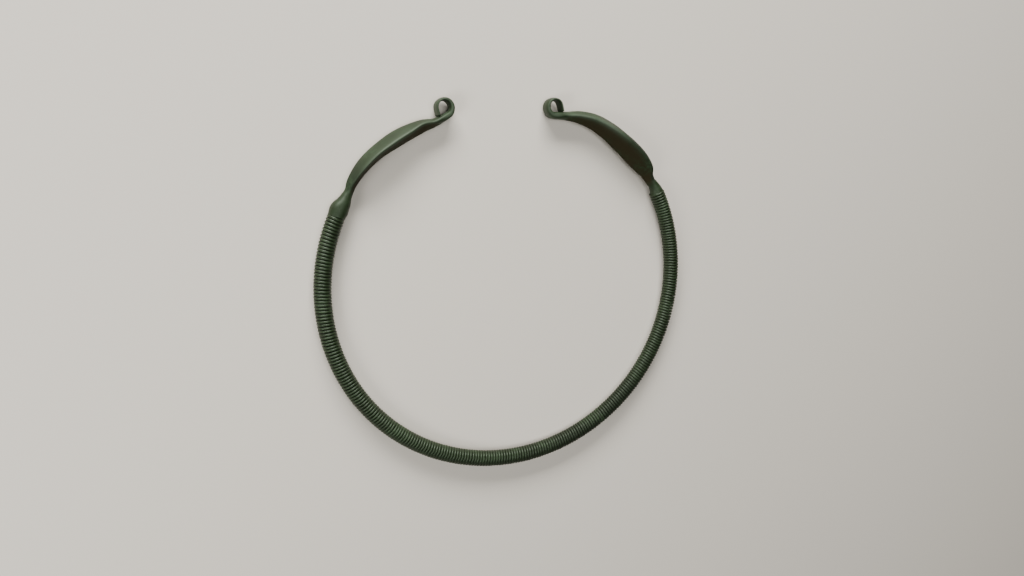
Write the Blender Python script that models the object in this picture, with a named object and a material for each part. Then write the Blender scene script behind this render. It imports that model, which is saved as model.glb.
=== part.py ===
"""A bronze torc: a neck ring of one forged bar, closely wound with one thin wire.

The bar runs bare at both ends: a swelling against the winding, a thin neck, a leaf-shaped blade with a
ridge on its front, and a strip that is rolled outward into a small open loop.

The torc lies flat on its back. Metres, +Z up, +Y towards the gap between the ends, +X to the right, the
origin under the middle of the whole object, on the surface that it lies on.
"""
import math

import bmesh
import bpy
import numpy as np

# The ring, measured to the middle of the bar
RING_ACROSS = 0.1414
RING_DEEP = 0.1386

# The bar inside the winding, and the wire wound round it
CORE_DIAMETER = 0.00334
WIRE_DIAMETER = 0.00113
GROOVE_DEPTH = 0.00042
FIT_GAP = 0.0003
SHOULDER_ANGLE = 0.12

# The bare ends: the swelling against the winding, the thin neck and the leaf-shaped blade
LEFT_SWELLING = 0.00635
LEFT_NECK = 0.00312
LEFT_BLADE = 0.0056
LEFT_RIDGE = -0.0003
LEFT_STRIP_RIDGE = 0.0007
RIGHT_SWELLING = 0.0056
RIGHT_NECK = 0.0040
RIGHT_BLADE = 0.0084
RIGHT_RIDGE = 0.0012
BLADE_DEPTH = 0.0108

# The strip that each end thins to, and the loop that it is rolled into
STRIP_THICKNESS = 0.0024
STRIP_DEPTH = 0.0050
LOOP_HOLE_RADIUS = 0.0020
LOOP_TIP_THICKNESS = 0.0010
LOOP_TURN = 255.0
LOOP_TAIL = 0.0022

# How finely the faceted solids are cut
SIDES = 8
SPAN_STEPS = 2
LOOP_SPANS = 8
CORE_SPANS = 28

# Corner shapes of a cross-section: 1 is a crisp ridge, 2 is round, more is boxy
RIDGED = 1.12
SOFT = 1.5
ROUND = 2.0
BOXY = 3.2

WINDING_RADIUS = CORE_DIAMETER / 2 + FIT_GAP + WIRE_DIAMETER
AXIS_LEVEL = WINDING_RADIUS

# The stations of each end, from the winding to the root of the loop:
# the place, the angle round the ring from the middle of the gap in degrees, how far the middle lies
# outside the ring's own line, the width in the plane of the ring, the depth from front to back, how far
# the ridge lies outside the bar's middle, and the corner shape.
LEFT_END = (
    ("shoulder", 64.4, 0.00005, 0.905 * LEFT_SWELLING, 0.905 * LEFT_SWELLING, 0.0, ROUND),
    ("fullest", 62.2, 0.00005, LEFT_SWELLING, 0.925 * LEFT_SWELLING, 0.0, ROUND),
    ("waning", 60.0, -0.00033, 0.803 * LEFT_SWELLING, 0.803 * LEFT_SWELLING, 0.0, ROUND),
    ("over the neck", 58.1, -0.00025, 1.2 * LEFT_NECK, 1.24 * LEFT_NECK, 0.0, ROUND),
    ("neck", 56.3, -0.0001, LEFT_NECK, 1.14 * LEFT_NECK, 0.0, SOFT),
    ("blade opens", 53.8, 0.0005, 0.67 * LEFT_BLADE, 0.52 * BLADE_DEPTH, 0.7 * LEFT_RIDGE, RIDGED),
    ("widening", 49.5, 0.00069, 0.82 * LEFT_BLADE, 0.87 * BLADE_DEPTH, LEFT_RIDGE, RIDGED),
    ("deepest", 44.0, 0.00028, 0.885 * LEFT_BLADE, BLADE_DEPTH, LEFT_RIDGE, RIDGED),
    ("widest", 38.0, -0.00075, LEFT_BLADE, 0.96 * BLADE_DEPTH, LEFT_RIDGE, RIDGED),
    ("narrowing", 32.5, -0.00175, 0.94 * LEFT_BLADE, 0.81 * BLADE_DEPTH, 0.0, RIDGED),
    ("blade closes", 28.0, -0.0026, 0.77 * LEFT_BLADE, 0.63 * BLADE_DEPTH, LEFT_STRIP_RIDGE, RIDGED),
    ("strip", 24.0, -0.00355, 1.25 * STRIP_THICKNESS, 1.1 * STRIP_DEPTH, 0.4 * LEFT_STRIP_RIDGE, SOFT),
    ("loop root", 19.6, -0.0031, STRIP_THICKNESS, STRIP_DEPTH, 0.0, BOXY),
)
RIGHT_END = (
    ("shoulder", 65.1, 0.0001, RIGHT_SWELLING, RIGHT_SWELLING, 0.0, ROUND),
    ("waning", 63.6, 0.00022, 0.866 * RIGHT_SWELLING, 0.866 * RIGHT_SWELLING, 0.0, ROUND),
    ("over the neck", 61.9, 0.00005, 1.03 * RIGHT_NECK, 1.05 * RIGHT_NECK, 0.0, ROUND),
    ("neck", 60.4, -0.0003, RIGHT_NECK, 1.05 * RIGHT_NECK, 0.0, SOFT),
    ("blade opens", 58.4, -0.00028, 0.58 * RIGHT_BLADE, 0.52 * BLADE_DEPTH, 0.25 * RIGHT_RIDGE, RIDGED),
    ("widening", 55.5, 0.00015, 0.87 * RIGHT_BLADE, 0.78 * BLADE_DEPTH, 0.8 * RIGHT_RIDGE, RIDGED),
    ("widest", 50.5, -0.0003, RIGHT_BLADE, BLADE_DEPTH, RIGHT_RIDGE, RIDGED),
    ("deepest", 44.5, -0.0008, 0.96 * RIGHT_BLADE, BLADE_DEPTH, RIGHT_RIDGE, RIDGED),
    ("narrowing", 38.0, -0.00095, 0.86 * RIGHT_BLADE, 0.93 * BLADE_DEPTH, 0.75 * RIGHT_RIDGE, RIDGED),
    ("slender", 31.5, -0.00125, 0.725 * RIGHT_BLADE, 0.76 * BLADE_DEPTH, 0.45 * RIGHT_RIDGE, RIDGED),
    ("blade closes", 26.0, -0.0025, 0.56 * RIGHT_BLADE, 0.58 * BLADE_DEPTH, 0.3 * RIGHT_RIDGE, RIDGED),
    ("strip", 21.5, -0.0039, 1.35 * STRIP_THICKNESS, 1.1 * STRIP_DEPTH, 0.0, SOFT),
    ("loop root", 17.0, -0.0053, 1.05 * STRIP_THICKNESS, STRIP_DEPTH, 0.0, BOXY),
)


def ring_point(angle):
    """A point of the ring's own line, and its outward direction, at an angle in degrees from the gap."""
    turn = math.radians(angle)
    across = RING_ACROSS / 2
    deep = RING_DEEP / 2
    radius = 1.0 / math.hypot(math.sin(turn) / across, math.cos(turn) / deep)
    point = np.array([radius * math.sin(turn), radius * math.cos(turn)])
    outward = np.array([point[0] / across ** 2, point[1] / deep ** 2])
    return point, outward / np.linalg.norm(outward)


def station_row(side, station):
    """One control section: its middle, half width, half depth, ridge and corner shape."""
    _, angle, middle, width, depth, ridge, corner = station
    point, outward = ring_point(side * angle)
    x, y = point + outward * middle
    return (x, y, width / 2, depth / 2, ridge, corner)


def loop_rows(root, before):
    """The sections of the loop: an arc turning outward from the root, thinning, then a straight tail."""
    start = np.array(root[:2])
    along = start - np.array(before[:2])
    along = along / np.linalg.norm(along)
    inward = np.array([-along[1], along[0]])
    if np.dot(inward, start) < 0:
        inward = -inward
    half_root = root[2]
    centre = start + inward * (LOOP_HOLE_RADIUS + half_root)
    rows = []
    for step in range(1, LOOP_SPANS + 1):
        share = step / LOOP_SPANS
        turn = math.radians(LOOP_TURN) * share
        half = half_root + (LOOP_TIP_THICKNESS / 2 - half_root) * min(1.0, 1.4 * share)
        arm = along * math.sin(turn) - inward * math.cos(turn)
        x, y = centre + arm * (LOOP_HOLE_RADIUS + half)
        rows.append((x, y, half, STRIP_DEPTH / 2, 0.0, BOXY))
    heading = along * math.cos(turn) + inward * math.sin(turn)
    x, y = np.array(rows[-1][:2]) + heading * LOOP_TAIL
    rows.append((x, y, half, STRIP_DEPTH / 2, 0.0, BOXY))
    return rows


def end_rows(side, stations):
    """All control sections of one end, from the winding out to the tip of the loop."""
    rows = [station_row(side, station) for station in stations]
    return rows + loop_rows(rows[-1], rows[-2])


def core_angles(clearance):
    """Where the bar inside the winding starts and ends, less a clearance at each end, in degrees."""
    spare = SHOULDER_ANGLE + math.degrees(clearance / (RING_DEEP / 2))
    return -(LEFT_END[0][1] + spare), RIGHT_END[0][1] + spare - 360.0


def core_rows():
    """The bar inside the winding, from the left end round the back to the right end."""
    half = CORE_DIAMETER / 2
    rows = []
    for angle in np.linspace(*core_angles(0.0), CORE_SPANS + 1):
        point, _ = ring_point(angle)
        rows.append((point[0], point[1], half, half, 0.0, ROUND))
    return rows


def smooth_rows(rows, steps):
    """Rows on a smooth curve through the control rows (Catmull-Rom, in every column at once)."""
    rows = np.array(rows)
    padded = np.vstack([2 * rows[0] - rows[1], rows, 2 * rows[-1] - rows[-2]])
    before, here, there, after = padded[:-3], padded[1:-2], padded[2:-1], padded[3:]
    pieces = []
    for share in np.arange(steps) / steps:
        pieces.append(0.5 * (2 * here + (there - before) * share
                             + (2 * before - 5 * here + 4 * there - after) * share ** 2
                             + (3 * here - before - 3 * there + after) * share ** 3))
    curve = np.stack(pieces, axis=1).reshape(-1, rows.shape[1])
    return np.vstack([curve, rows[-1]])


def sweep(rows, sides):
    """The rings of a bar: at each row a section of two half shapes, square to the way the bar runs."""
    along = np.gradient(rows[:, :2], axis=0)
    along = along / np.linalg.norm(along, axis=1)[:, None]
    outward = np.stack([along[:, 1], -along[:, 0]], axis=1)
    turn = np.arange(sides) * 2 * math.pi / sides
    half_width, half_depth, ridge, corner = (rows[:, column, None] for column in range(2, 6))
    across = np.sign(np.cos(turn)) * np.abs(np.round(np.cos(turn), 12)) ** (2 / corner)
    height = np.sign(np.sin(turn)) * np.abs(np.round(np.sin(turn), 12)) ** (2 / corner)
    shift = half_width * across + ridge * np.abs(height)
    rings = np.empty((len(rows), sides, 3))
    rings[:, :, 0] = rows[:, 0, None] + shift * outward[:, 0, None]
    rings[:, :, 1] = rows[:, 1, None] + shift * outward[:, 1, None]
    rings[:, :, 2] = AXIS_LEVEL + half_depth * height
    return rings


def grid_faces(count, sides):
    """Four-sided faces between neighbouring rings."""
    faces = []
    for ring in range(count - 1):
        for side in range(sides):
            after = (side + 1) % sides
            low = ring * sides
            faces.append((low + side, low + after, low + sides + after, low + sides + side))
    return faces


def make_object(name, points, faces, material, collection):
    """A closed mesh object: doubled points merged, faces pointing out."""
    shape = bmesh.new()
    verts = [shape.verts.new(point) for point in points]
    for face in faces:
        shape.faces.new([verts[index] for index in face])
    bmesh.ops.remove_doubles(shape, verts=shape.verts, dist=1e-6)
    bmesh.ops.recalc_face_normals(shape, faces=shape.faces)
    mesh = bpy.data.meshes.new(name)
    shape.to_mesh(mesh)
    shape.free()
    mesh.materials.append(material)
    mesh.shade_smooth()
    mesh.set_sharp_from_angle(angle=math.radians(35))
    piece = bpy.data.objects.new(name, mesh)
    collection.objects.link(piece)
    return piece


def flatten_back(piece):
    """Cut the piece off at the surface it lies on, which leaves small flats on its back."""
    shape = bmesh.new()
    shape.from_mesh(piece.data)
    everything = list(shape.verts) + list(shape.edges) + list(shape.faces)
    bmesh.ops.bisect_plane(shape, geom=everything, dist=1e-7, plane_co=(0, 0, 0), plane_no=(0, 0, -1),
                           clear_outer=True)
    rims = [edge for edge in shape.edges if edge.is_boundary]
    bmesh.ops.holes_fill(shape, edges=rims, sides=0)
    bmesh.ops.recalc_face_normals(shape, faces=shape.faces)
    shape.to_mesh(piece.data)
    shape.free()


def make_hoop(material, collection):
    """The forged bar from loop to loop, with its flats where the blades lie on the surface."""
    left = end_rows(-1, LEFT_END)[::-1]
    right = end_rows(1, RIGHT_END)
    rows = np.vstack([smooth_rows(left, SPAN_STEPS), core_rows(), smooth_rows(right, SPAN_STEPS)])
    rings = sweep(rows, SIDES)
    faces = grid_faces(len(rings), SIDES)
    faces.append(tuple(range(SIDES)))
    last = (len(rings) - 1) * SIDES
    faces.append(tuple(last + side for side in reversed(range(SIDES))))
    hoop = make_object("hoop", rings.reshape(-1, 3), faces, material, collection)
    flatten_back(hoop)
    return hoop


def winding_point(share, turn, radius):
    """A point at a share of the winding's length and a turn round the bar from its outer side."""
    first, last = core_angles(FIT_GAP)
    angle = first + share * (last - first)
    point, outward = ring_point(angle)
    x, y = point + outward * radius * math.cos(turn)
    return (x, y, AXIS_LEVEL + radius * math.sin(turn))


def make_winding(material, collection):
    """The wound wire as one closed sleeve, with a left-handed ridge for each turn of the wire."""
    first, last = core_angles(FIT_GAP)
    length = math.radians(first - last) * (RING_ACROSS + RING_DEEP) / 4
    turns = round(length / WIRE_DIAMETER)
    points = []
    faces = []
    rows = 2 * turns + 4
    for row in range(rows):
        for side in range(SIDES):
            wound = (row - 2) / 2 + side / SIDES
            wound = min(max(wound, 0.0), float(turns))
            phase = (wound - side / SIDES) % 1.0
            radius = WINDING_RADIUS - GROOVE_DEPTH * (1 - abs(2 * phase - 1))
            points.append(winding_point(wound / turns, side * 2 * math.pi / SIDES, radius))
    for row in range(rows - 1):
        for side in range(SIDES - 1):
            low = row * SIDES + side
            faces.append((low, low + 1, low + SIDES + 1, low + SIDES))
    for row in range(rows - 3):
        low = row * SIDES + SIDES - 1
        faces.append((low, (row + 2) * SIDES, (row + 3) * SIDES, low + SIDES))
    inner_start = len(points)
    inner_radius = CORE_DIAMETER / 2 + FIT_GAP
    for ring in range(CORE_SPANS + 1):
        for side in range(SIDES):
            points.append(winding_point(ring / CORE_SPANS, side * 2 * math.pi / SIDES, inner_radius))
    for a, b, c, d in grid_faces(CORE_SPANS + 1, SIDES):
        faces.append((inner_start + a, inner_start + d, inner_start + c, inner_start + b))
    first_inner = inner_start
    last_inner = inner_start + CORE_SPANS * SIDES
    last_outer = (rows - 1) * SIDES
    for side in range(SIDES):
        after = (side + 1) % SIDES
        faces.append((side, first_inner + side, first_inner + after, after))
        faces.append((last_outer + side, last_outer + after, last_inner + after, last_inner + side))
    return make_object("wire_winding", points, faces, material, collection)


def make_material(name, colour, roughness, metallic):
    """A plain Principled material."""
    material = bpy.data.materials.new(name)
    material.use_nodes = True
    shader = material.node_tree.nodes["Principled BSDF"]
    shader.inputs["Base Color"].default_value = (*colour, 1.0)
    shader.inputs["Roughness"].default_value = roughness
    shader.inputs["Metallic"].default_value = metallic
    return material


def centre_over_origin(pieces):
    """Move every piece so that the middle of the whole object is over the origin."""
    corners = np.vstack([[vert.co for vert in piece.data.vertices] for piece in pieces])
    middle = (corners.min(axis=0) + corners.max(axis=0)) / 2
    for piece in pieces:
        for vert in piece.data.vertices:
            vert.co.x -= middle[0]
            vert.co.y -= middle[1]


def main():
    for item in list(bpy.data.objects):
        bpy.data.objects.remove(item, do_unlink=True)
    collection = bpy.data.collections.new("Torc")
    bpy.context.scene.collection.children.link(collection)
    bare_bronze = make_material("Patinated bronze", (0.07, 0.11, 0.08), 0.45, 0.6)
    wire_bronze = make_material("Patinated bronze wire", (0.08, 0.11, 0.09), 0.5, 0.6)
    hoop = make_hoop(bare_bronze, collection)
    winding = make_winding(wire_bronze, collection)
    centre_over_origin([hoop, winding])


main()
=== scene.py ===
# %% [markdown]
# # A wire-wound bronze torc
#
# A torc is a stiff neck ring, open at one side. This one is a single forged bar of bronze. Most of
# it is closely wound with one thin wire. Both ends are bare: a swelling that stops the winding, a
# thin neck, a leaf-shaped blade with a ridge, and a strip that is rolled outward into a small loop.
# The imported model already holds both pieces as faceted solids, so this script lays two finer
# surfaces over them, gives them an old green patina, and adds a floor, the light and a camera.
# Lengths are in metres.

import math

import bpy
import numpy as np
from mathutils import Matrix, Vector


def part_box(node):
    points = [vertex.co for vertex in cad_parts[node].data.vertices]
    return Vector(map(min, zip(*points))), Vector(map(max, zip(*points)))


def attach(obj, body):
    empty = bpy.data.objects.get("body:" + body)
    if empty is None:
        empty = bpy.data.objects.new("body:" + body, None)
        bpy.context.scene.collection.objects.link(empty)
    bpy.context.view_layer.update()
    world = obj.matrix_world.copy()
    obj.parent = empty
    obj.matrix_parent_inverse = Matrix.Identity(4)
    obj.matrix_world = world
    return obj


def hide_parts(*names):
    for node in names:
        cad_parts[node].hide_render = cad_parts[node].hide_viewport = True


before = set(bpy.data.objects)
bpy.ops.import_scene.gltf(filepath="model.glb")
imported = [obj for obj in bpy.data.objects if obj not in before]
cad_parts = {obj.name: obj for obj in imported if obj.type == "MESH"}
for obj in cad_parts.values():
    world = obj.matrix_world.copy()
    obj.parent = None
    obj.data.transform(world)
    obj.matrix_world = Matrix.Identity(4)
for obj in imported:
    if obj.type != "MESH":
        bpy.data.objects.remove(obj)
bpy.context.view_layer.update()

# %% [markdown]
# ## The line of the ring
#
# The smith bent the bar round by eye, so the ring isn't quite a circle: an ellipse that is 2% wider
# than it is deep fits it well. Every other shape here is laid out along this one line, so it is a
# function that takes an array of angles and gives back points and outward directions.

# %% The ring's own line
MM = 0.001
RING_HALF = np.array([141.4, 138.6]) * MM / 2
CORE_RADIUS = 3.34 * MM / 2
WIRE_RADIUS = 1.13 * MM / 2
FIT_GAP = 0.3 * MM

winding_radius = CORE_RADIUS + FIT_GAP + 2 * WIRE_RADIUS
low_corner, high_corner = np.array(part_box("wire_winding"))
ring_centre = np.array([(low_corner[0] + high_corner[0]) / 2,
                        low_corner[1] + winding_radius + RING_HALF[1],
                        winding_radius])


def ring_line(angle):
    """Points of the ring's line and its outward directions, at angles in radians from +Y to +X.

    A point is the direction (sin, cos) times the ellipse's radius that way, which is
    1 / sqrt((sin/a)^2 + (cos/b)^2); the outward direction is the ellipse's gradient
    (x/a^2, y/b^2), made one long.
    """
    direction = np.stack([np.sin(angle), np.cos(angle)], axis=-1)
    radius = 1 / np.linalg.norm(direction / RING_HALF, axis=-1, keepdims=True)
    point = direction * radius
    outward = point / RING_HALF ** 2
    return point, outward / np.linalg.norm(outward, axis=-1, keepdims=True)


print("middle of the ring in mm:", np.round(ring_centre * 1000, 3).tolist())

# %% [markdown]
# ## The bare ends as tables of sections
#
# A forged end swells, pinches and spreads, which no single formula follows. A table does: each row
# is one cross-section, and a smooth curve through the rows gives all the sections between them. The
# columns are the angle round the ring in degrees, how far the section's middle lies outside the
# ring's line, its width and depth, how far its ridge leans outward, and its corner shape, where 1
# is a sharp diamond, 2 is round and more is boxy. Lengths are in millimetres.

# %% Sections of both ends
# angle, outside, width, depth, ridge, corner
LEFT_END = np.array([
    [64.4, 0.05, 5.75, 5.75, 0.00, 2.00],
    [62.2, 0.05, 6.35, 5.88, 0.00, 2.00],
    [60.0, -0.33, 5.10, 5.10, 0.00, 2.00],
    [58.1, -0.25, 3.74, 3.87, 0.00, 2.00],
    [56.3, -0.10, 3.12, 3.56, 0.00, 1.50],
    [53.8, 0.50, 3.75, 5.62, -0.21, 1.12],
    [49.5, 0.69, 4.59, 9.40, -0.30, 1.12],
    [44.0, 0.28, 4.95, 10.80, -0.30, 1.12],
    [38.0, -0.75, 5.60, 10.37, -0.30, 1.12],
    [32.5, -1.75, 5.26, 8.75, 0.00, 1.12],
    [28.0, -2.60, 4.31, 6.80, 0.70, 1.12],
    [24.0, -3.55, 3.00, 5.50, 0.28, 1.50],
    [19.6, -3.10, 2.40, 5.00, 0.00, 3.20],
])
RIGHT_END = np.array([
    [65.1, 0.10, 5.60, 5.60, 0.00, 2.00],
    [63.6, 0.22, 4.85, 4.85, 0.00, 2.00],
    [61.9, 0.05, 4.12, 4.20, 0.00, 2.00],
    [60.4, -0.30, 4.00, 4.20, 0.00, 1.50],
    [58.4, -0.28, 4.87, 5.62, 0.30, 1.12],
    [55.5, 0.15, 7.31, 8.42, 0.96, 1.12],
    [50.5, -0.30, 8.40, 10.80, 1.20, 1.12],
    [44.5, -0.80, 8.06, 10.80, 1.20, 1.12],
    [38.0, -0.95, 7.22, 10.04, 0.90, 1.12],
    [31.5, -1.25, 6.09, 8.21, 0.54, 1.12],
    [26.0, -2.50, 4.70, 6.26, 0.36, 1.12],
    [21.5, -3.90, 3.24, 5.50, 0.00, 1.50],
    [17.0, -5.30, 2.52, 5.00, 0.00, 3.20],
])


def placed_rows(table, side):
    """Table rows as (x, y, half width, half depth, ridge, corner) in metres.

    The middle of a section is the ring's point plus the outward direction times the distance
    outside; side is -1 for the left end and 1 for the right.
    """
    point, outward = ring_line(np.radians(table[:, 0]) * side)
    middle = point + outward * table[:, 1:2] * MM
    return np.column_stack([middle, table[:, 2:4] * MM / 2, table[:, 4] * MM, table[:, 5]])


left_rows = placed_rows(LEFT_END, -1)
right_rows = placed_rows(RIGHT_END, 1)
print("rows:", len(left_rows), "left,", len(right_rows), "right")

# %% [markdown]
# ## The loops
#
# The last of each end was hammered into a flat strip and rolled round a rod, so a loop is an arc of
# the strip. Its sections are worked out, not listed: the arm from the middle of the hole turns
# through 255 degrees while the strip gets thinner, and a short straight tail ends just short of the
# strip's root.

# %% Rows that carry on round each loop
HOLE_RADIUS = 2.0 * MM
TIP_HALF = 0.5 * MM
# The strip is at its thinnest from 1 / THINNING_RATE of the way round.
THINNING_RATE = 1.4
LOOP_TURN = math.radians(255)
TAIL = 2.2 * MM
LOOP_ROWS = 8


def loop_rows(root, before):
    """Rows round the loop: middle = hole centre + (hole radius + half thickness) * turning arm.

    The arm is along * sin(turn) - inward * cos(turn), and the half thickness goes from the
    root's to the tip's at the thinning rate, so that it gets there before the loop ends.
    """
    along = root[:2] - before[:2]
    along = along / np.linalg.norm(along)
    inward = np.array([-along[1], along[0]])
    inward = inward * np.sign(inward @ root[:2])
    share = np.arange(1, LOOP_ROWS + 1) / LOOP_ROWS
    turn = (LOOP_TURN * share)[:, None]
    half = root[2] + (TIP_HALF - root[2]) * np.minimum(1, THINNING_RATE * share)
    centre = root[:2] + inward * (HOLE_RADIUS + root[2])
    arm = along * np.sin(turn) - inward * np.cos(turn)
    middle = centre + arm * (HOLE_RADIUS + half)[:, None]
    heading = along * math.cos(LOOP_TURN) + inward * math.sin(LOOP_TURN)
    middle = np.vstack([middle, middle[-1] + heading * TAIL])
    half = np.append(half, half[-1])
    rest = np.tile(root[3:], (len(middle), 1))
    return np.column_stack([middle, half, rest])


left_rows = np.vstack([left_rows, loop_rows(left_rows[-1], left_rows[-2])])
right_rows = np.vstack([right_rows, loop_rows(right_rows[-1], right_rows[-2])])
print("rows with the loops:", len(left_rows), "left,", len(right_rows), "right")

# %% [markdown]
# ## From rows to a surface
#
# Three array steps turn the rows into a bar. A Catmull-Rom curve, which passes through every row,
# fills in the rows between. A superellipse, |x|^n + |y|^n = 1, gives each row's section, from the
# diamond of a blade to the box of a strip. Smoothing that unit shape a little round its rim gives
# the soft, worn ridges of hammered metal, and stretching it afterwards keeps the true width and
# depth.

# %% A smooth curve through the rows
STEPS_BETWEEN_ROWS = 12


def catmull_rom(rows, steps):
    """Rows on the curve through all rows, steps per span.

    Between p1 and p2 it is the cubic that starts with the slope (p2 - p0) / 2 and ends with the
    slope (p3 - p1) / 2.
    """
    padded = np.vstack([2 * rows[0] - rows[1], rows, 2 * rows[-1] - rows[-2]])
    p0, p1, p2, p3 = padded[:-3, None], padded[1:-2, None], padded[2:-1, None], padded[3:, None]
    t = (np.arange(steps) / steps)[None, :, None]
    curve = 0.5 * (2 * p1 + (p2 - p0) * t + (2 * p0 - 5 * p1 + 4 * p2 - p3) * t ** 2
                   + (3 * p1 - p0 - 3 * p2 + p3) * t ** 3)
    return np.vstack([curve.reshape(-1, rows.shape[1]), rows[-1]])


left_curve = catmull_rom(left_rows[::-1], STEPS_BETWEEN_ROWS)
right_curve = catmull_rom(right_rows, STEPS_BETWEEN_ROWS)
print("rows on the curves:", len(left_curve), "left,", len(right_curve), "right")

# %% Softened sections
BAR_SIDES = 72
RIDGE_SOFTENING = 7


def unit_sections(corner, sides):
    """Superellipse rims in polar form, radius = (|cos|^n + |sin|^n)^(-1/n), softened.

    Each softening step makes a point a quarter of each neighbour plus half of itself, and at the
    end the rim is scaled to reach 1 again across and up.
    """
    turn = np.arange(sides) * 2 * math.pi / sides
    cosine, sine = np.cos(turn), np.sin(turn)
    radius = (np.abs(cosine) ** corner + np.abs(sine) ** corner) ** (-1 / corner)
    rim = np.stack([radius * cosine, radius * sine], axis=-1)
    for _ in range(RIDGE_SOFTENING):
        rim = (np.roll(rim, 1, axis=1) + 2 * rim + np.roll(rim, -1, axis=1)) / 4
    return rim / np.abs(rim).max(axis=1, keepdims=True)


# %% Hammer marks
SEED = 7
DENT_WAVES = 14
# Radians per metre along the bar, and whole waves round it.
WAVES_ALONG = (150, 900)
WAVES_ROUND = (-3, 4)

seeded = np.random.default_rng(SEED)


def hammer_marks(length, turn, depth):
    """Shallow dents: depth / sqrt(waves) times a sum of cosines along and round the bar.

    Each wave is cos(length * waves along + turn * waves round + shift), all three drawn from the
    seeded generator.
    """
    total = np.zeros(np.broadcast(length, turn).shape)
    for _ in range(DENT_WAVES):
        waves_along = seeded.uniform(*WAVES_ALONG)
        waves_round = seeded.integers(*WAVES_ROUND)
        shift = seeded.uniform(0, 2 * math.pi)
        total = total + np.cos(length * waves_along + turn * waves_round + shift)
    return total * depth / math.sqrt(DENT_WAVES)


# %% [markdown]
# ## A closed tube as a mesh
#
# The bar and the wire are both tubes: rings of points, one after another. Numbering the points row
# by row makes the faces easy to write as arrays, because each face joins a point to the next one
# round and to the two beside them in the next ring. A fan of triangles to a pole point closes each
# end. The masks are values at the points that the materials read later as attributes.

# %% A tube's mesh


def make_surface(name, rings, start_pole, end_pole, masks):
    """A closed tube through rings (rows x sides x 3) with a pole point at each end, as a piece.

    The face at (row, side) joins points (row, side), (row, side + 1), (row + 1, side + 1) and
    (row + 1, side), and the sides wrap round; the poles have the value 0 in every mask.
    """
    count, sides, _ = rings.shape
    index = np.arange(count * sides).reshape(count, sides)
    after = np.roll(index, -1, axis=1)
    quads = np.stack([index[:-1], after[:-1], after[1:], index[1:]], axis=-1).reshape(-1, 4)
    start, end = count * sides, count * sides + 1
    start_fan = np.stack([after[0], index[0], np.full(sides, start)], axis=-1)
    end_fan = np.stack([index[-1], after[-1], np.full(sides, end)], axis=-1)
    points = np.vstack([rings.reshape(-1, 3), start_pole, end_pole])
    faces = quads.tolist() + start_fan.tolist() + end_fan.tolist()
    mesh = bpy.data.meshes.new(name)
    mesh.from_pydata(points.tolist(), [], faces)
    mesh.shade_smooth()
    for mask_name, values in masks.items():
        attribute = mesh.attributes.new(mask_name, "FLOAT", "POINT")
        with_poles = np.append(values.ravel(), [0.0, 0.0]).astype(np.float32)
        attribute.data.foreach_set("value", with_poles)
    piece = bpy.data.objects.new(name, mesh)
    bpy.context.scene.collection.objects.link(piece)
    print(name, "has", len(quads) * 2 + 2 * sides, "triangles")
    return piece


# %% [markdown]
# ## The forged bar
#
# The bar is one piece from loop to loop, so it is one sweep: the left end backwards, a thin round
# core under the winding, and the right end. Each section stands square to the way the bar runs.
# Where the two blades lie on the surface below they are worn flat, which is the same as letting no
# point go below it.

# %% Rows of the whole bar
SHOULDER_ANGLE = math.radians(0.12)
CORE_ROWS = 90
ROUND_CORNER = 2.0

core_start = -(math.radians(LEFT_END[0, 0]) + SHOULDER_ANGLE)
core_end = math.radians(RIGHT_END[0, 0]) + SHOULDER_ANGLE - 2 * math.pi
core_line, _ = ring_line(np.linspace(core_start, core_end, CORE_ROWS))
core_table = np.tile([CORE_RADIUS, CORE_RADIUS, 0.0, ROUND_CORNER], (CORE_ROWS, 1))
bar_rows = np.vstack([left_curve, np.column_stack([core_line, core_table]), right_curve])
print("rows of the bar:", len(bar_rows))

# %% Sweep the sections along the bar
MARK_DEPTH = 0.035 * MM
SMOOTH_BELOW_MM, MARKED_ABOVE_MM = 1.4, 1.65


def ramp(value, zero_at, one_at):
    """(value - zero_at) / (one_at - zero_at), held between 0 and 1."""
    return np.clip((value - zero_at) / (one_at - zero_at), 0, 1)


def sweep_bar(rows):
    """Rings of the bar, the way it runs at each row, and the unit rims.

    ring = middle + outward * (half width * across + ridge * |up|) + half depth * up, where
    across and up are the rim's coordinates. Dents are added to both halves. They fade out
    where the half width falls from 1.65 to 1.4 mm, so the strips and the loops stay smooth.
    """
    along = np.gradient(rows[:, :2], axis=0)
    along = along / np.linalg.norm(along, axis=1, keepdims=True)
    outward = np.stack([along[:, 1], -along[:, 0]], axis=1)[:, None]
    middle, half_width, half_depth, ridge, corner = np.split(rows[:, None], [2, 3, 4, 5], axis=2)
    rim = unit_sections(corner[:, :, 0], BAR_SIDES)
    across, up = rim[..., :1], rim[..., 1:]
    steps = np.diff(rows[:, :2], axis=0, prepend=rows[:1, :2])
    length = np.cumsum(np.linalg.norm(steps, axis=1))
    turn = np.arange(BAR_SIDES) * 2 * math.pi / BAR_SIDES
    marked = ramp(half_width * 1000, SMOOTH_BELOW_MM, MARKED_ABOVE_MM)
    dents = hammer_marks(length[:, None], turn[None], MARK_DEPTH)[..., None] * marked
    flat = middle + outward * (across * (half_width + dents) + ridge * np.abs(up))
    level = up * (half_depth + dents)
    return np.concatenate([flat, level], axis=2), along, rim


bar_rings, bar_along, bar_rims = sweep_bar(bar_rows)
print("rings of the bar:", bar_rings.shape[0], "with", bar_rings.shape[1], "points each")

# %% Round the tips and wear the bar flat below
TIP_ROUNDING = 0.45 * MM
TIP_ROWS = 5
TIP_NARROWING = 0.8


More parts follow.
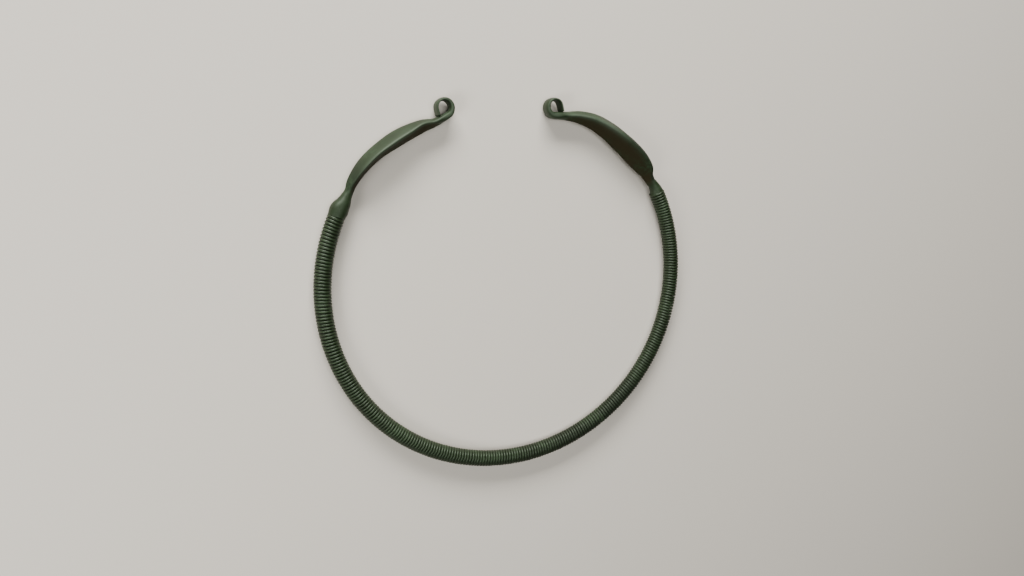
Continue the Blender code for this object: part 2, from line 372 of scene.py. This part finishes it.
def rounded_tip(ring, heading):
    """Rings that close a tip, and its pole, for t in even steps from 0 to a quarter turn.

    size = 1 - narrowing * (1 - cos(t)), and the ring is pushed out by rounding * sin(t).
    """
    turn = np.linspace(0, math.pi / 2, TIP_ROWS + 2)[1:-1, None, None]
    middle = ring.mean(axis=0)
    push = np.array([*heading, 0.0]) * TIP_ROUNDING
    size = 1 - (1 - np.cos(turn)) * TIP_NARROWING
    return middle + (ring - middle) * size + push * np.sin(turn), middle + push


left_tip, left_pole = rounded_tip(bar_rings[0], -bar_along[0])
right_tip, right_pole = rounded_tip(bar_rings[-1], bar_along[-1])
bar_points = np.concatenate([left_tip[::-1], bar_rings, right_tip]) + ring_centre
print("worn off the blades in mm:", round(-bar_points[..., 2].min() * 1000, 2))
bar_points[..., 2] = np.maximum(bar_points[..., 2], 0.0)

# %% [markdown]
# ## Where the bar is rubbed, crusted and painted with highlight and shade
#
# The sharp line of a ridge and the rim of a strip are paler, partly where rubbing polished the
# metal and partly as a painted highlight. The blades' inner sides are brown, partly a brown crust
# and partly painted shade, and their outer faces towards the necks are darkened with painted shade.
# Each is a mask that goes with the mesh. The corner column of the table tells a blade from a round
# section or a strip, and the unit rim tells the ridge, the inner side and the outer side apart.

# %% Make the forged bar
# Pairs for ramp, (no mask, full mask): corner shapes, and places across the unit rim.
BLADE_CORNERS = (1.8, 1.3)
STRIP_CORNERS = (2.2, 3.0)
INNER_SIDE = (0.0, -0.4)
OUTER_SIDE = (-0.2, 0.2)
# Degrees from the gap where the painted shade on the outer faces starts, and over how many it grows
# to full.
LEFT_NECK_FROM, RIGHT_NECK_FROM = 47, 36
NECK_FADE = 9
RIDGE_SHARPNESS, RIM_SHARPNESS = 8, 12
# Painted highlight as well as wear: the ridge and rim amounts brighten the crests, more on the
# right.
LEFT_RIDGE_WEAR_AND_HIGHLIGHT, RIGHT_RIDGE_WEAR_AND_HIGHLIGHT, RIM_WEAR_AND_HIGHLIGHT = 0.6, 1, 0.5

on_blade = ramp(bar_rows[:, 5:6], *BLADE_CORNERS)
on_strip = ramp(bar_rows[:, 5:6], *STRIP_CORNERS)
bar_angle = np.degrees(np.arctan2(bar_rows[:, :1], bar_rows[:, 1:2]))
on_right = bar_angle > 0
neck_from = np.where(on_right, RIGHT_NECK_FROM, LEFT_NECK_FROM)
near_neck = ramp(np.abs(bar_angle), neck_from, neck_from + NECK_FADE) * on_blade
ridge_wear_and_highlight = np.where(on_right, RIGHT_RIDGE_WEAR_AND_HIGHLIGHT, LEFT_RIDGE_WEAR_AND_HIGHLIGHT) * on_blade * (1 - near_neck)
rim_across, rim_up = bar_rims[..., 0], np.abs(bar_rims[..., 1])
bar_masks = {
    # ridge: paler ridges and strip rims, partly rubbed wear and partly painted highlight.
    "ridge": rim_up ** RIDGE_SHARPNESS * ridge_wear_and_highlight + rim_up ** RIM_SHARPNESS * on_strip * RIM_WEAR_AND_HIGHLIGHT,
    # inside: brown on the blades' inner sides, partly crust and partly painted shade.
    "inside": ramp(rim_across, *INNER_SIDE) * on_blade,
    # neck: painted shade on the blades' outer faces towards the necks.
    "neck": ramp(rim_across, *OUTER_SIDE) * near_neck,
}
tip_rows_of_zeros = ((TIP_ROWS, TIP_ROWS), (0, 0))
forged_bar = make_surface(
    "forged_bar", bar_points, left_pole + ring_centre, right_pole + ring_centre,
    {name: np.pad(mask, tip_rows_of_zeros) for name, mask in bar_masks.items()})

# %% [markdown]
# ## The wound wire
#
# The winding is one long wire, laid turn against turn, and every turn shows as a rib with a dark
# groove on either side. A real tube round a helix catches the light as the wire does, also at the
# outline, where a bump map would stay smooth. The helix winds left-handed: from the left end it
# climbs outward, over the top and down inside. Small slow changes in its radius and spacing keep
# the ribs from looking machine-made.

# %% Count the turns
STATIONS_PER_TURN = 32
ENTRY = 0.9 * MM

mean_radius = RING_HALF.mean()
wire_span = core_start - core_end
turns = round((wire_span * mean_radius + 2 * ENTRY) / (2 * WIRE_RADIUS))
stations = turns * STATIONS_PER_TURN + 1
wound = np.linspace(0, turns, stations)
print("turns of wire:", turns)

# %% Small irregularities
WANDER_WAVES = 9
WANDER_ALONG, CYCLES_ALONG = 0.07 * MM, (0.05, 0.6)
WANDER_OUT, CYCLES_OUT = 0.03 * MM, (0.1, 0.9)


def slow_noise(position, cycle_range):
    """A wandering value round 0: sqrt(2) times the mean of sine waves with seeded shifts.

    Each wave is sin(2 pi * position * cycles + shift), with its cycles a turn drawn from the
    range. The values spread by about 1 / sqrt(waves) either side.
    """
    cycles = seeded.uniform(*cycle_range, WANDER_WAVES)
    shifts = seeded.uniform(0, 2 * math.pi, WANDER_WAVES)
    waves = np.sin(position[:, None] * cycles * 2 * math.pi + shifts)
    return waves.mean(axis=1) * math.sqrt(2)


drift = slow_noise(wound, CYCLES_ALONG) * WANDER_ALONG / mean_radius
dip = WANDER_OUT * (1 - slow_noise(wound, CYCLES_OUT)) / 2
print("turns wander by up to", round(np.abs(drift).max() * mean_radius / MM, 3), "mm")

# %% Make the wound wire
WIRE_SIDES = 10
SINK = 0.4 * MM
GROOVE_POWER = 0.7
# Painted shade: the winding is darkened over a stretch round 150 degrees.
PAINTED_SHADE_AMOUNT = 0.45
# The wire runs from -64 to -295 degrees, so 150 degrees is counted as 150 - 360.
PAINTED_SHADE_ANGLE = math.radians(150 - 360)
PAINTED_SHADE_SPREAD = math.radians(32)


def wire_tube():
    """The wire's rings, the middles of its rings, and its mask of dirt and painted shade.

    centre = ring line + helix radius * (outward * cos(turn) + up * sin(turn)), and each circle
    lies in the plane of that same arm and of the ring's own direction. In the first and last turn
    the helix sinks by sink * (1 - turns from the end)^2, so the wire's ends go into the bar. The
    mask is (1 - cos(angle round the wire)) held to 0..1, to the groove power: none on the crest
    and all in the groove, partly dirt and partly painted shade between the turns. Added to it is
    a stretch of painted shade on the winding, amount * exp(-((angle - middle) / spread)^2).
    """
    start = core_start + ENTRY / RING_HALF[1]
    end = core_end - ENTRY / RING_HALF[1]
    angle = start + (end - start) * wound / turns + drift
    line, outward = ring_line(angle)
    along = np.stack([-outward[:, 1], outward[:, 0]], axis=1)
    turn = wound * 2 * math.pi
    arm = np.column_stack([outward * np.cos(turn)[:, None], np.sin(turn)])
    from_end = np.minimum(np.minimum(wound, turns - wound), 1.0)
    helix_radius = winding_radius - WIRE_RADIUS - SINK * (1 - from_end) ** 2 - dip
    centre = np.column_stack([line, np.zeros(stations)]) + arm * helix_radius[:, None]
    round_wire = np.arange(WIRE_SIDES) * 2 * math.pi / WIRE_SIDES
    run = np.column_stack([along, np.zeros(stations)])
    rings = centre[:, None] + WIRE_RADIUS * (arm[:, None] * np.cos(round_wire)[None, :, None]
                                             + run[:, None] * np.sin(round_wire)[None, :, None])
    # Darker away from each turn's crest: dirt and painted shade between the turns.
    groove = np.clip(1 - np.cos(round_wire), 0, 1) ** GROOVE_POWER
    # A stretch of painted shade on the winding.
    painted_shade = PAINTED_SHADE_AMOUNT * np.exp(-((angle - PAINTED_SHADE_ANGLE) / PAINTED_SHADE_SPREAD) ** 2)
    return rings, centre, np.clip(groove[None] + painted_shade[:, None], 0, 1)


wire_rings, wire_centre, groove_dirt_and_shade = wire_tube()
wire_coil = make_surface("wire_coil", wire_rings + ring_centre, wire_centre[0] + ring_centre,
                         wire_centre[-1] + ring_centre, {"groove": groove_dirt_and_shade})

# %% [markdown]
# ## The patina
#
# Old bronze grows a thin green-black skin. It is duller than metal but not dead: it keeps a soft
# gloss, it is paler where a bloom of copper salts lies on it, and brown-black where it is thick.
# Both pieces have it, so it is a node group with named inputs, placed in each material with its own
# values.

# %% Helpers for shader nodes


def feed(tree, socket, operand):
    """Sets the socket to a number or colour, or links an output to it."""
    if isinstance(operand, (int, float, tuple)):
        socket.default_value = operand
    else:
        tree.links.new(operand, socket)


def new_group(name, inputs, outputs):
    """A shader node group; inputs are (name, kind, default), outputs are (name, kind)."""
    group = bpy.data.node_groups.new(name, "ShaderNodeTree")
    for label, kind, default in inputs:
        socket = group.interface.new_socket(
            label, in_out="INPUT", socket_type="NodeSocket" + kind)
        socket.default_value = default
    for label, kind in outputs:
        group.interface.new_socket(label, in_out="OUTPUT", socket_type="NodeSocket" + kind)
    start = group.nodes.new("NodeGroupInput")
    end = group.nodes.new("NodeGroupOutput")
    return group, start, end


def noise_node(tree, coordinates, scale, detail, roughness):
    """A Noise Texture on the given coordinates: octaves of noise, each finer and weaker."""
    noise = tree.nodes.new("ShaderNodeTexNoise")
    for label, operand in (("Vector", coordinates), ("Scale", scale),
                           ("Detail", detail), ("Roughness", roughness)):
        feed(tree, noise.inputs[label], operand)
    return noise.outputs["Fac"]


def step_node(tree, value, low, high):
    """A smooth step of value, 3 t^2 - 2 t^3 with t from 0 at low to 1 at high."""
    step = tree.nodes.new("ShaderNodeMapRange")
    step.interpolation_type = "SMOOTHSTEP"
    for label, operand in (("Value", value), ("From Min", low), ("From Max", high)):
        feed(tree, step.inputs[label], operand)
    return step.outputs["Result"]


def math_node(tree, operation, first, second):
    """One Math node: first and second, added, multiplied or subtracted."""
    node = tree.nodes.new("ShaderNodeMath")
    node.operation = operation
    for socket, operand in zip(node.inputs, (first, second)):
        feed(tree, socket, operand)
    return node.outputs["Value"]


def mix_node(tree, amount, first, second):
    """A Mix node for colours: first * (1 - amount) + second * amount."""
    node = tree.nodes.new("ShaderNodeMix")
    node.data_type = "RGBA"
    factor, first_colour, second_colour = node.inputs[0], node.inputs[6], node.inputs[7]
    for socket, operand in ((factor, amount), (first_colour, first), (second_colour, second)):
        feed(tree, socket, operand)
    return node.outputs[2]


# %% [markdown]
# ## Skin, bloom and crust as one group
#
# The bloom lies in soft patches and, looked at closely, in specks, so its mask is a step of a
# coarse noise times a step of a fine one. The crust has patches of its own, so that it doesn't
# follow the bloom. The group gives back the colour, and the bloom's mask for the roughness.

# %% The patina group
BLOOM_STEP = (0.42, 0.72)
SPECK_STEP = (0.3, 0.7)
CRUST_STEP = (0.5, 0.75)
SPECK_SCALE = 1100.0
CRUST_SCALE = 160.0

patina, patina_in, patina_out = new_group(
    "Bronze patina",
    [("Skin", "Color", (0.03, 0.05, 0.035, 1)), ("Bloom", "Color", (0.1, 0.15, 0.11, 1)),
     ("Crust", "Color", (0.012, 0.011, 0.006, 1)), ("Bloom Amount", "Float", 0.5),
     ("Crust Amount", "Float", 0.5), ("Patch Scale", "Float", 90.0)],
    [("Color", "Color"), ("Bloom Mask", "Float")])
place = patina.nodes.new("ShaderNodeTexCoord").outputs["Object"]
patches = noise_node(patina, place, patina_in.outputs["Patch Scale"], detail=5, roughness=0.6)
specks = noise_node(patina, place, SPECK_SCALE, detail=3, roughness=0.6)
crust_patches = noise_node(patina, place, CRUST_SCALE, detail=6, roughness=0.65)
bloom = math_node(patina, "MULTIPLY", step_node(patina, patches, *BLOOM_STEP),
                  patina_in.outputs["Bloom Amount"])
bloom = math_node(patina, "MULTIPLY", bloom, step_node(patina, specks, *SPECK_STEP))
crust = math_node(patina, "MULTIPLY", step_node(patina, crust_patches, *CRUST_STEP),
                  patina_in.outputs["Crust Amount"])
green = mix_node(patina, bloom, patina_in.outputs["Skin"], patina_in.outputs["Bloom"])
skin_colour = mix_node(patina, crust, green, patina_in.outputs["Crust"])
patina.links.new(skin_colour, patina_out.inputs["Color"])
patina.links.new(bloom, patina_out.inputs["Bloom Mask"])
print("group:", patina.name, "with", len(patina.nodes), "nodes")

# %% The pitting group
PIT_SHARE = 0.35
SWELL_SCALE = 420.0

pitting, pitting_in, pitting_out = new_group(
    "Fine pitting", [("Pit Scale", "Float", 1500.0)], [("Height", "Float")])
pit_place = pitting.nodes.new("ShaderNodeTexCoord").outputs["Object"]
pits = noise_node(pitting, pit_place, pitting_in.outputs["Pit Scale"], detail=4, roughness=0.55)
swells = noise_node(pitting, pit_place, SWELL_SCALE, detail=2, roughness=0.5)
pit_height = math_node(pitting, "MULTIPLY", pits, PIT_SHARE)
pitting.links.new(math_node(pitting, "ADD", pit_height, swells), pitting_out.inputs["Height"])
print("group:", pitting.name, "with", len(pitting.nodes), "nodes")

# %% [markdown]
# ## Two materials from one skin
#
# The bare bar is a little paler on its ridges and rims, partly where handling rubbed the crust away
# and partly as a painted highlight. It is brown on the blades' inner sides, partly brown crust and
# partly painted shade, and darkened with painted shade on their outer faces towards the necks. The
# wire is dark down in its grooves, partly dirt and partly painted shade between the turns, and
# darker over one stretch of the winding, which is painted shade. Those masks came with the meshes
# as attributes, so they follow the shapes exactly.
# The roughness goes up where bloom and these darker masks are, so they look matt.

# %% One material function
BLOOM_ROUGHNESS = 0.2
BUMP_DISTANCE = 0.05 * MM


def patina_material(name, masks, settings):
    """A Principled material: the patina group, then each mask of the mesh over it, and pitting.

    masks are (attribute, colour, amount, roughness): colour = mix(colour so far, mask colour,
    attribute * amount * (1 - bloom)), so that salts lie over the dirt, crust and painted shade too.
    The roughness is the settings' own, plus bloom * bloom roughness, plus attribute * roughness for
    each mask.
    """
    material = bpy.data.materials.new(name)
    material.use_nodes = True
    tree = material.node_tree
    shader = tree.nodes["Principled BSDF"]
    shader.inputs["Metallic"].default_value = settings["metallic"]
    shader.inputs["Specular IOR Level"].default_value = settings["specular"]
    shader.inputs["Specular Tint"].default_value = settings["gloss_tint"]
    skin = tree.nodes.new("ShaderNodeGroup")
    skin.node_tree = patina
    for label in ("Skin", "Bloom", "Crust", "Bloom Amount", "Crust Amount", "Patch Scale"):
        skin.inputs[label].default_value = settings[label]
    colour, bloom_mask = skin.outputs["Color"], skin.outputs["Bloom Mask"]
    no_bloom = math_node(tree, "SUBTRACT", 1.0, bloom_mask)
    rough = math_node(tree, "ADD", settings["roughness"],
                      math_node(tree, "MULTIPLY", bloom_mask, BLOOM_ROUGHNESS))
    for mask_name, mask_colour, mask_amount, mask_roughness in masks:
        mask = tree.nodes.new("ShaderNodeAttribute")
        mask.attribute_name = mask_name
        amount = math_node(tree, "MULTIPLY", mask.outputs["Fac"], mask_amount)
        amount = math_node(tree, "MULTIPLY", amount, no_bloom)
        colour = mix_node(tree, amount, colour, mask_colour)
        added = math_node(tree, "MULTIPLY", mask.outputs["Fac"], mask_roughness)
        rough = math_node(tree, "ADD", rough, added)
    tree.links.new(colour, shader.inputs["Base Color"])
    tree.links.new(rough, shader.inputs["Roughness"])
    relief = tree.nodes.new("ShaderNodeGroup")
    relief.node_tree = pitting
    relief.inputs["Pit Scale"].default_value = settings["pit_scale"]
    bump = tree.nodes.new("ShaderNodeBump")
    bump.inputs["Strength"].default_value = settings["bump"]
    bump.inputs["Distance"].default_value = BUMP_DISTANCE
    tree.links.new(relief.outputs["Height"], bump.inputs["Height"])
    tree.links.new(bump.outputs["Normal"], shader.inputs["Normal"])
    return material


# %% The bar's bronze and the wire's
BAR_SETTINGS = {
    "Skin": (0.0130, 0.0240, 0.0085, 1), "Bloom": (0.036, 0.066, 0.030, 1),
    "Crust": (0.011, 0.010, 0.005, 1),
    "Bloom Amount": 1.0, "Crust Amount": 0.5, "Patch Scale": 110.0,
    "metallic": 0.0, "specular": 0.40, "gloss_tint": (0.87, 1.0, 0.84, 1),
    "roughness": 0.50, "bump": 0.45, "pit_scale": 1300.0,
}
WIRE_SETTINGS = {
    **BAR_SETTINGS,
    "Skin": (0.0162, 0.0293, 0.0106, 1), "Bloom": (0.041, 0.073, 0.0325, 1),
    "Bloom Amount": 0.9,
    "specular": 0.44, "roughness": 0.37, "bump": 0.3, "pit_scale": 2200.0,
}
# Brown crust and painted shade for the blades' inner sides.
BROWN_CRUST_AND_SHADE = (0.020, 0.0125, 0.002, 1)
# Painted shade for the blades' outer faces towards the necks.
NECK_PAINTED_SHADE = (0.005, 0.009, 0.0035, 1)
# Paler colour for ridges and rims: rubbed wear and painted highlight.
WEAR_AND_HIGHLIGHT = (0.11, 0.14, 0.10, 1)
# Dark colour for the wire's grooves: dirt and painted shade between the turns.
DIRT_AND_SHADE = (0.006, 0.007, 0.004, 1)
BAR_MASKS = [
    ("neck", NECK_PAINTED_SHADE, 0.8, 0.2),
    ("inside", BROWN_CRUST_AND_SHADE, 0.95, 0.35),
    ("ridge", WEAR_AND_HIGHLIGHT, 0.55, 0.0),
]
WIRE_MASKS = [("groove", DIRT_AND_SHADE, 1.0, 0.2)]

bar_bronze = patina_material("Patinated bronze", BAR_MASKS, BAR_SETTINGS)
wire_bronze = patina_material("Patinated bronze wire", WIRE_MASKS, WIRE_SETTINGS)
forged_bar.data.materials.append(bar_bronze)
wire_coil.data.materials.append(wire_bronze)
print("materials:", bar_bronze.name, "and", wire_bronze.name)

# %% [markdown]
# ## Tying the pieces to the model
#
# Each new piece stands for one imported solid, which is hidden, and moves with its body.

# %% Tie the pieces to the model
for piece, node, slot in ((forged_bar, "hoop", "bare_bronze"),
                          (wire_coil, "wire_winding", "wound_wire")):
    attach(piece, "root")
    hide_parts(node)
    print(piece.name, "stands for", node)

# %% [markdown]
# ## Floor, light and camera
#
# A plain pale floor shows the outline without competing with it. The main soft light stands low
# beyond the gap, so the blades' outer faces are bright and their inner sides dark. A weaker one at
# the left lights the outer side of the winding there, and one overhead gives every turn of wire a
# crest. The camera looks down from the left at the angle of the photograph, with the torc lying
# flat.

# %% Floor
FLOOR_SIZE = 8.0
FLOOR_COLOUR = (0.76, 0.71, 0.63, 1)
FLOOR_ROUGHNESS = 0.85

corners = np.array([[-1, -1, 0], [1, -1, 0], [1, 1, 0], [-1, 1, 0]]) * FLOOR_SIZE / 2
floor_mesh = bpy.data.meshes.new("floor")
floor_mesh.from_pydata(corners.tolist(), [], [(0, 1, 2, 3)])
floor = bpy.data.objects.new("floor", floor_mesh)
bpy.context.scene.collection.objects.link(floor)
floor_paint = bpy.data.materials.new("Pale floor")
floor_paint.use_nodes = True
floor_shader = floor_paint.node_tree.nodes["Principled BSDF"]
floor_shader.inputs["Base Color"].default_value = FLOOR_COLOUR
floor_shader.inputs["Roughness"].default_value = FLOOR_ROUGHNESS
floor_mesh.materials.append(floor_paint)
print("floor:", FLOOR_SIZE, "m across")

# %% Light
# Each light has a name, its place, its width and height, its power in watts and its colour.
LIGHTS = [
    ("key_light", (-0.12, 0.82, 0.36), (0.70, 0.30), 16.2, (1.0, 0.99, 0.96)),
    ("left_light", (-0.43, -0.08, 0.31), (0.20, 0.20), 1.25, (1.0, 1.0, 0.97)),
    ("top_light", (0.0, 0.02, 0.90), (0.60, 0.45), 3.6, (1.0, 1.0, 0.98)),
]
ROOM_COLOUR = (0.9, 0.93, 1.0, 1)
ROOM_STRENGTH = 0.01

for name, spot, size, power, colour in LIGHTS:
    lamp = bpy.data.lights.new(name, "AREA")
    lamp.shape = "RECTANGLE"
    lamp.size, lamp.size_y = size
    lamp.energy = power
    lamp.color = colour
    holder = bpy.data.objects.new(name, lamp)
    bpy.context.scene.collection.objects.link(holder)
    aim = (Vector(ring_centre) - Vector(spot)).to_track_quat("-Z", "Y")
    holder.matrix_world = Matrix.Translation(spot) @ aim.to_matrix().to_4x4()

world = bpy.data.worlds.new("soft room")
world.use_nodes = True
background = world.node_tree.nodes["Background"]
background.inputs["Color"].default_value = ROOM_COLOUR
background.inputs["Strength"].default_value = ROOM_STRENGTH
bpy.context.scene.world = world
print("lights:", ", ".join(name for name, *_ in LIGHTS))

# %% Camera
CAMERA_FROM_RING = np.array([-98.32, 52.26, 238.24]) * MM
CAMERA_LOOK = Vector((0.37002, -0.20476, -0.90620))
CAMERA_UP = Vector((0.1207, 0.9776, -0.1724))
LENS_MM = 24.44
SENSOR_MM = 36.0

lens = bpy.data.cameras.new("photo_camera")
lens.lens = LENS_MM
lens.sensor_width = SENSOR_MM
camera = bpy.data.objects.new("photo_camera", lens)
bpy.context.scene.collection.objects.link(camera)
back = -CAMERA_LOOK.normalized()
right = CAMERA_UP.cross(back).normalized()
turned = Matrix((right, back.cross(right), back)).transposed().to_4x4()
camera.matrix_world = Matrix.Translation(ring_centre + CAMERA_FROM_RING) @ turned
bpy.context.scene.camera = camera
print("camera at, in mm:", np.round((ring_centre + CAMERA_FROM_RING) * 1000, 1).tolist())
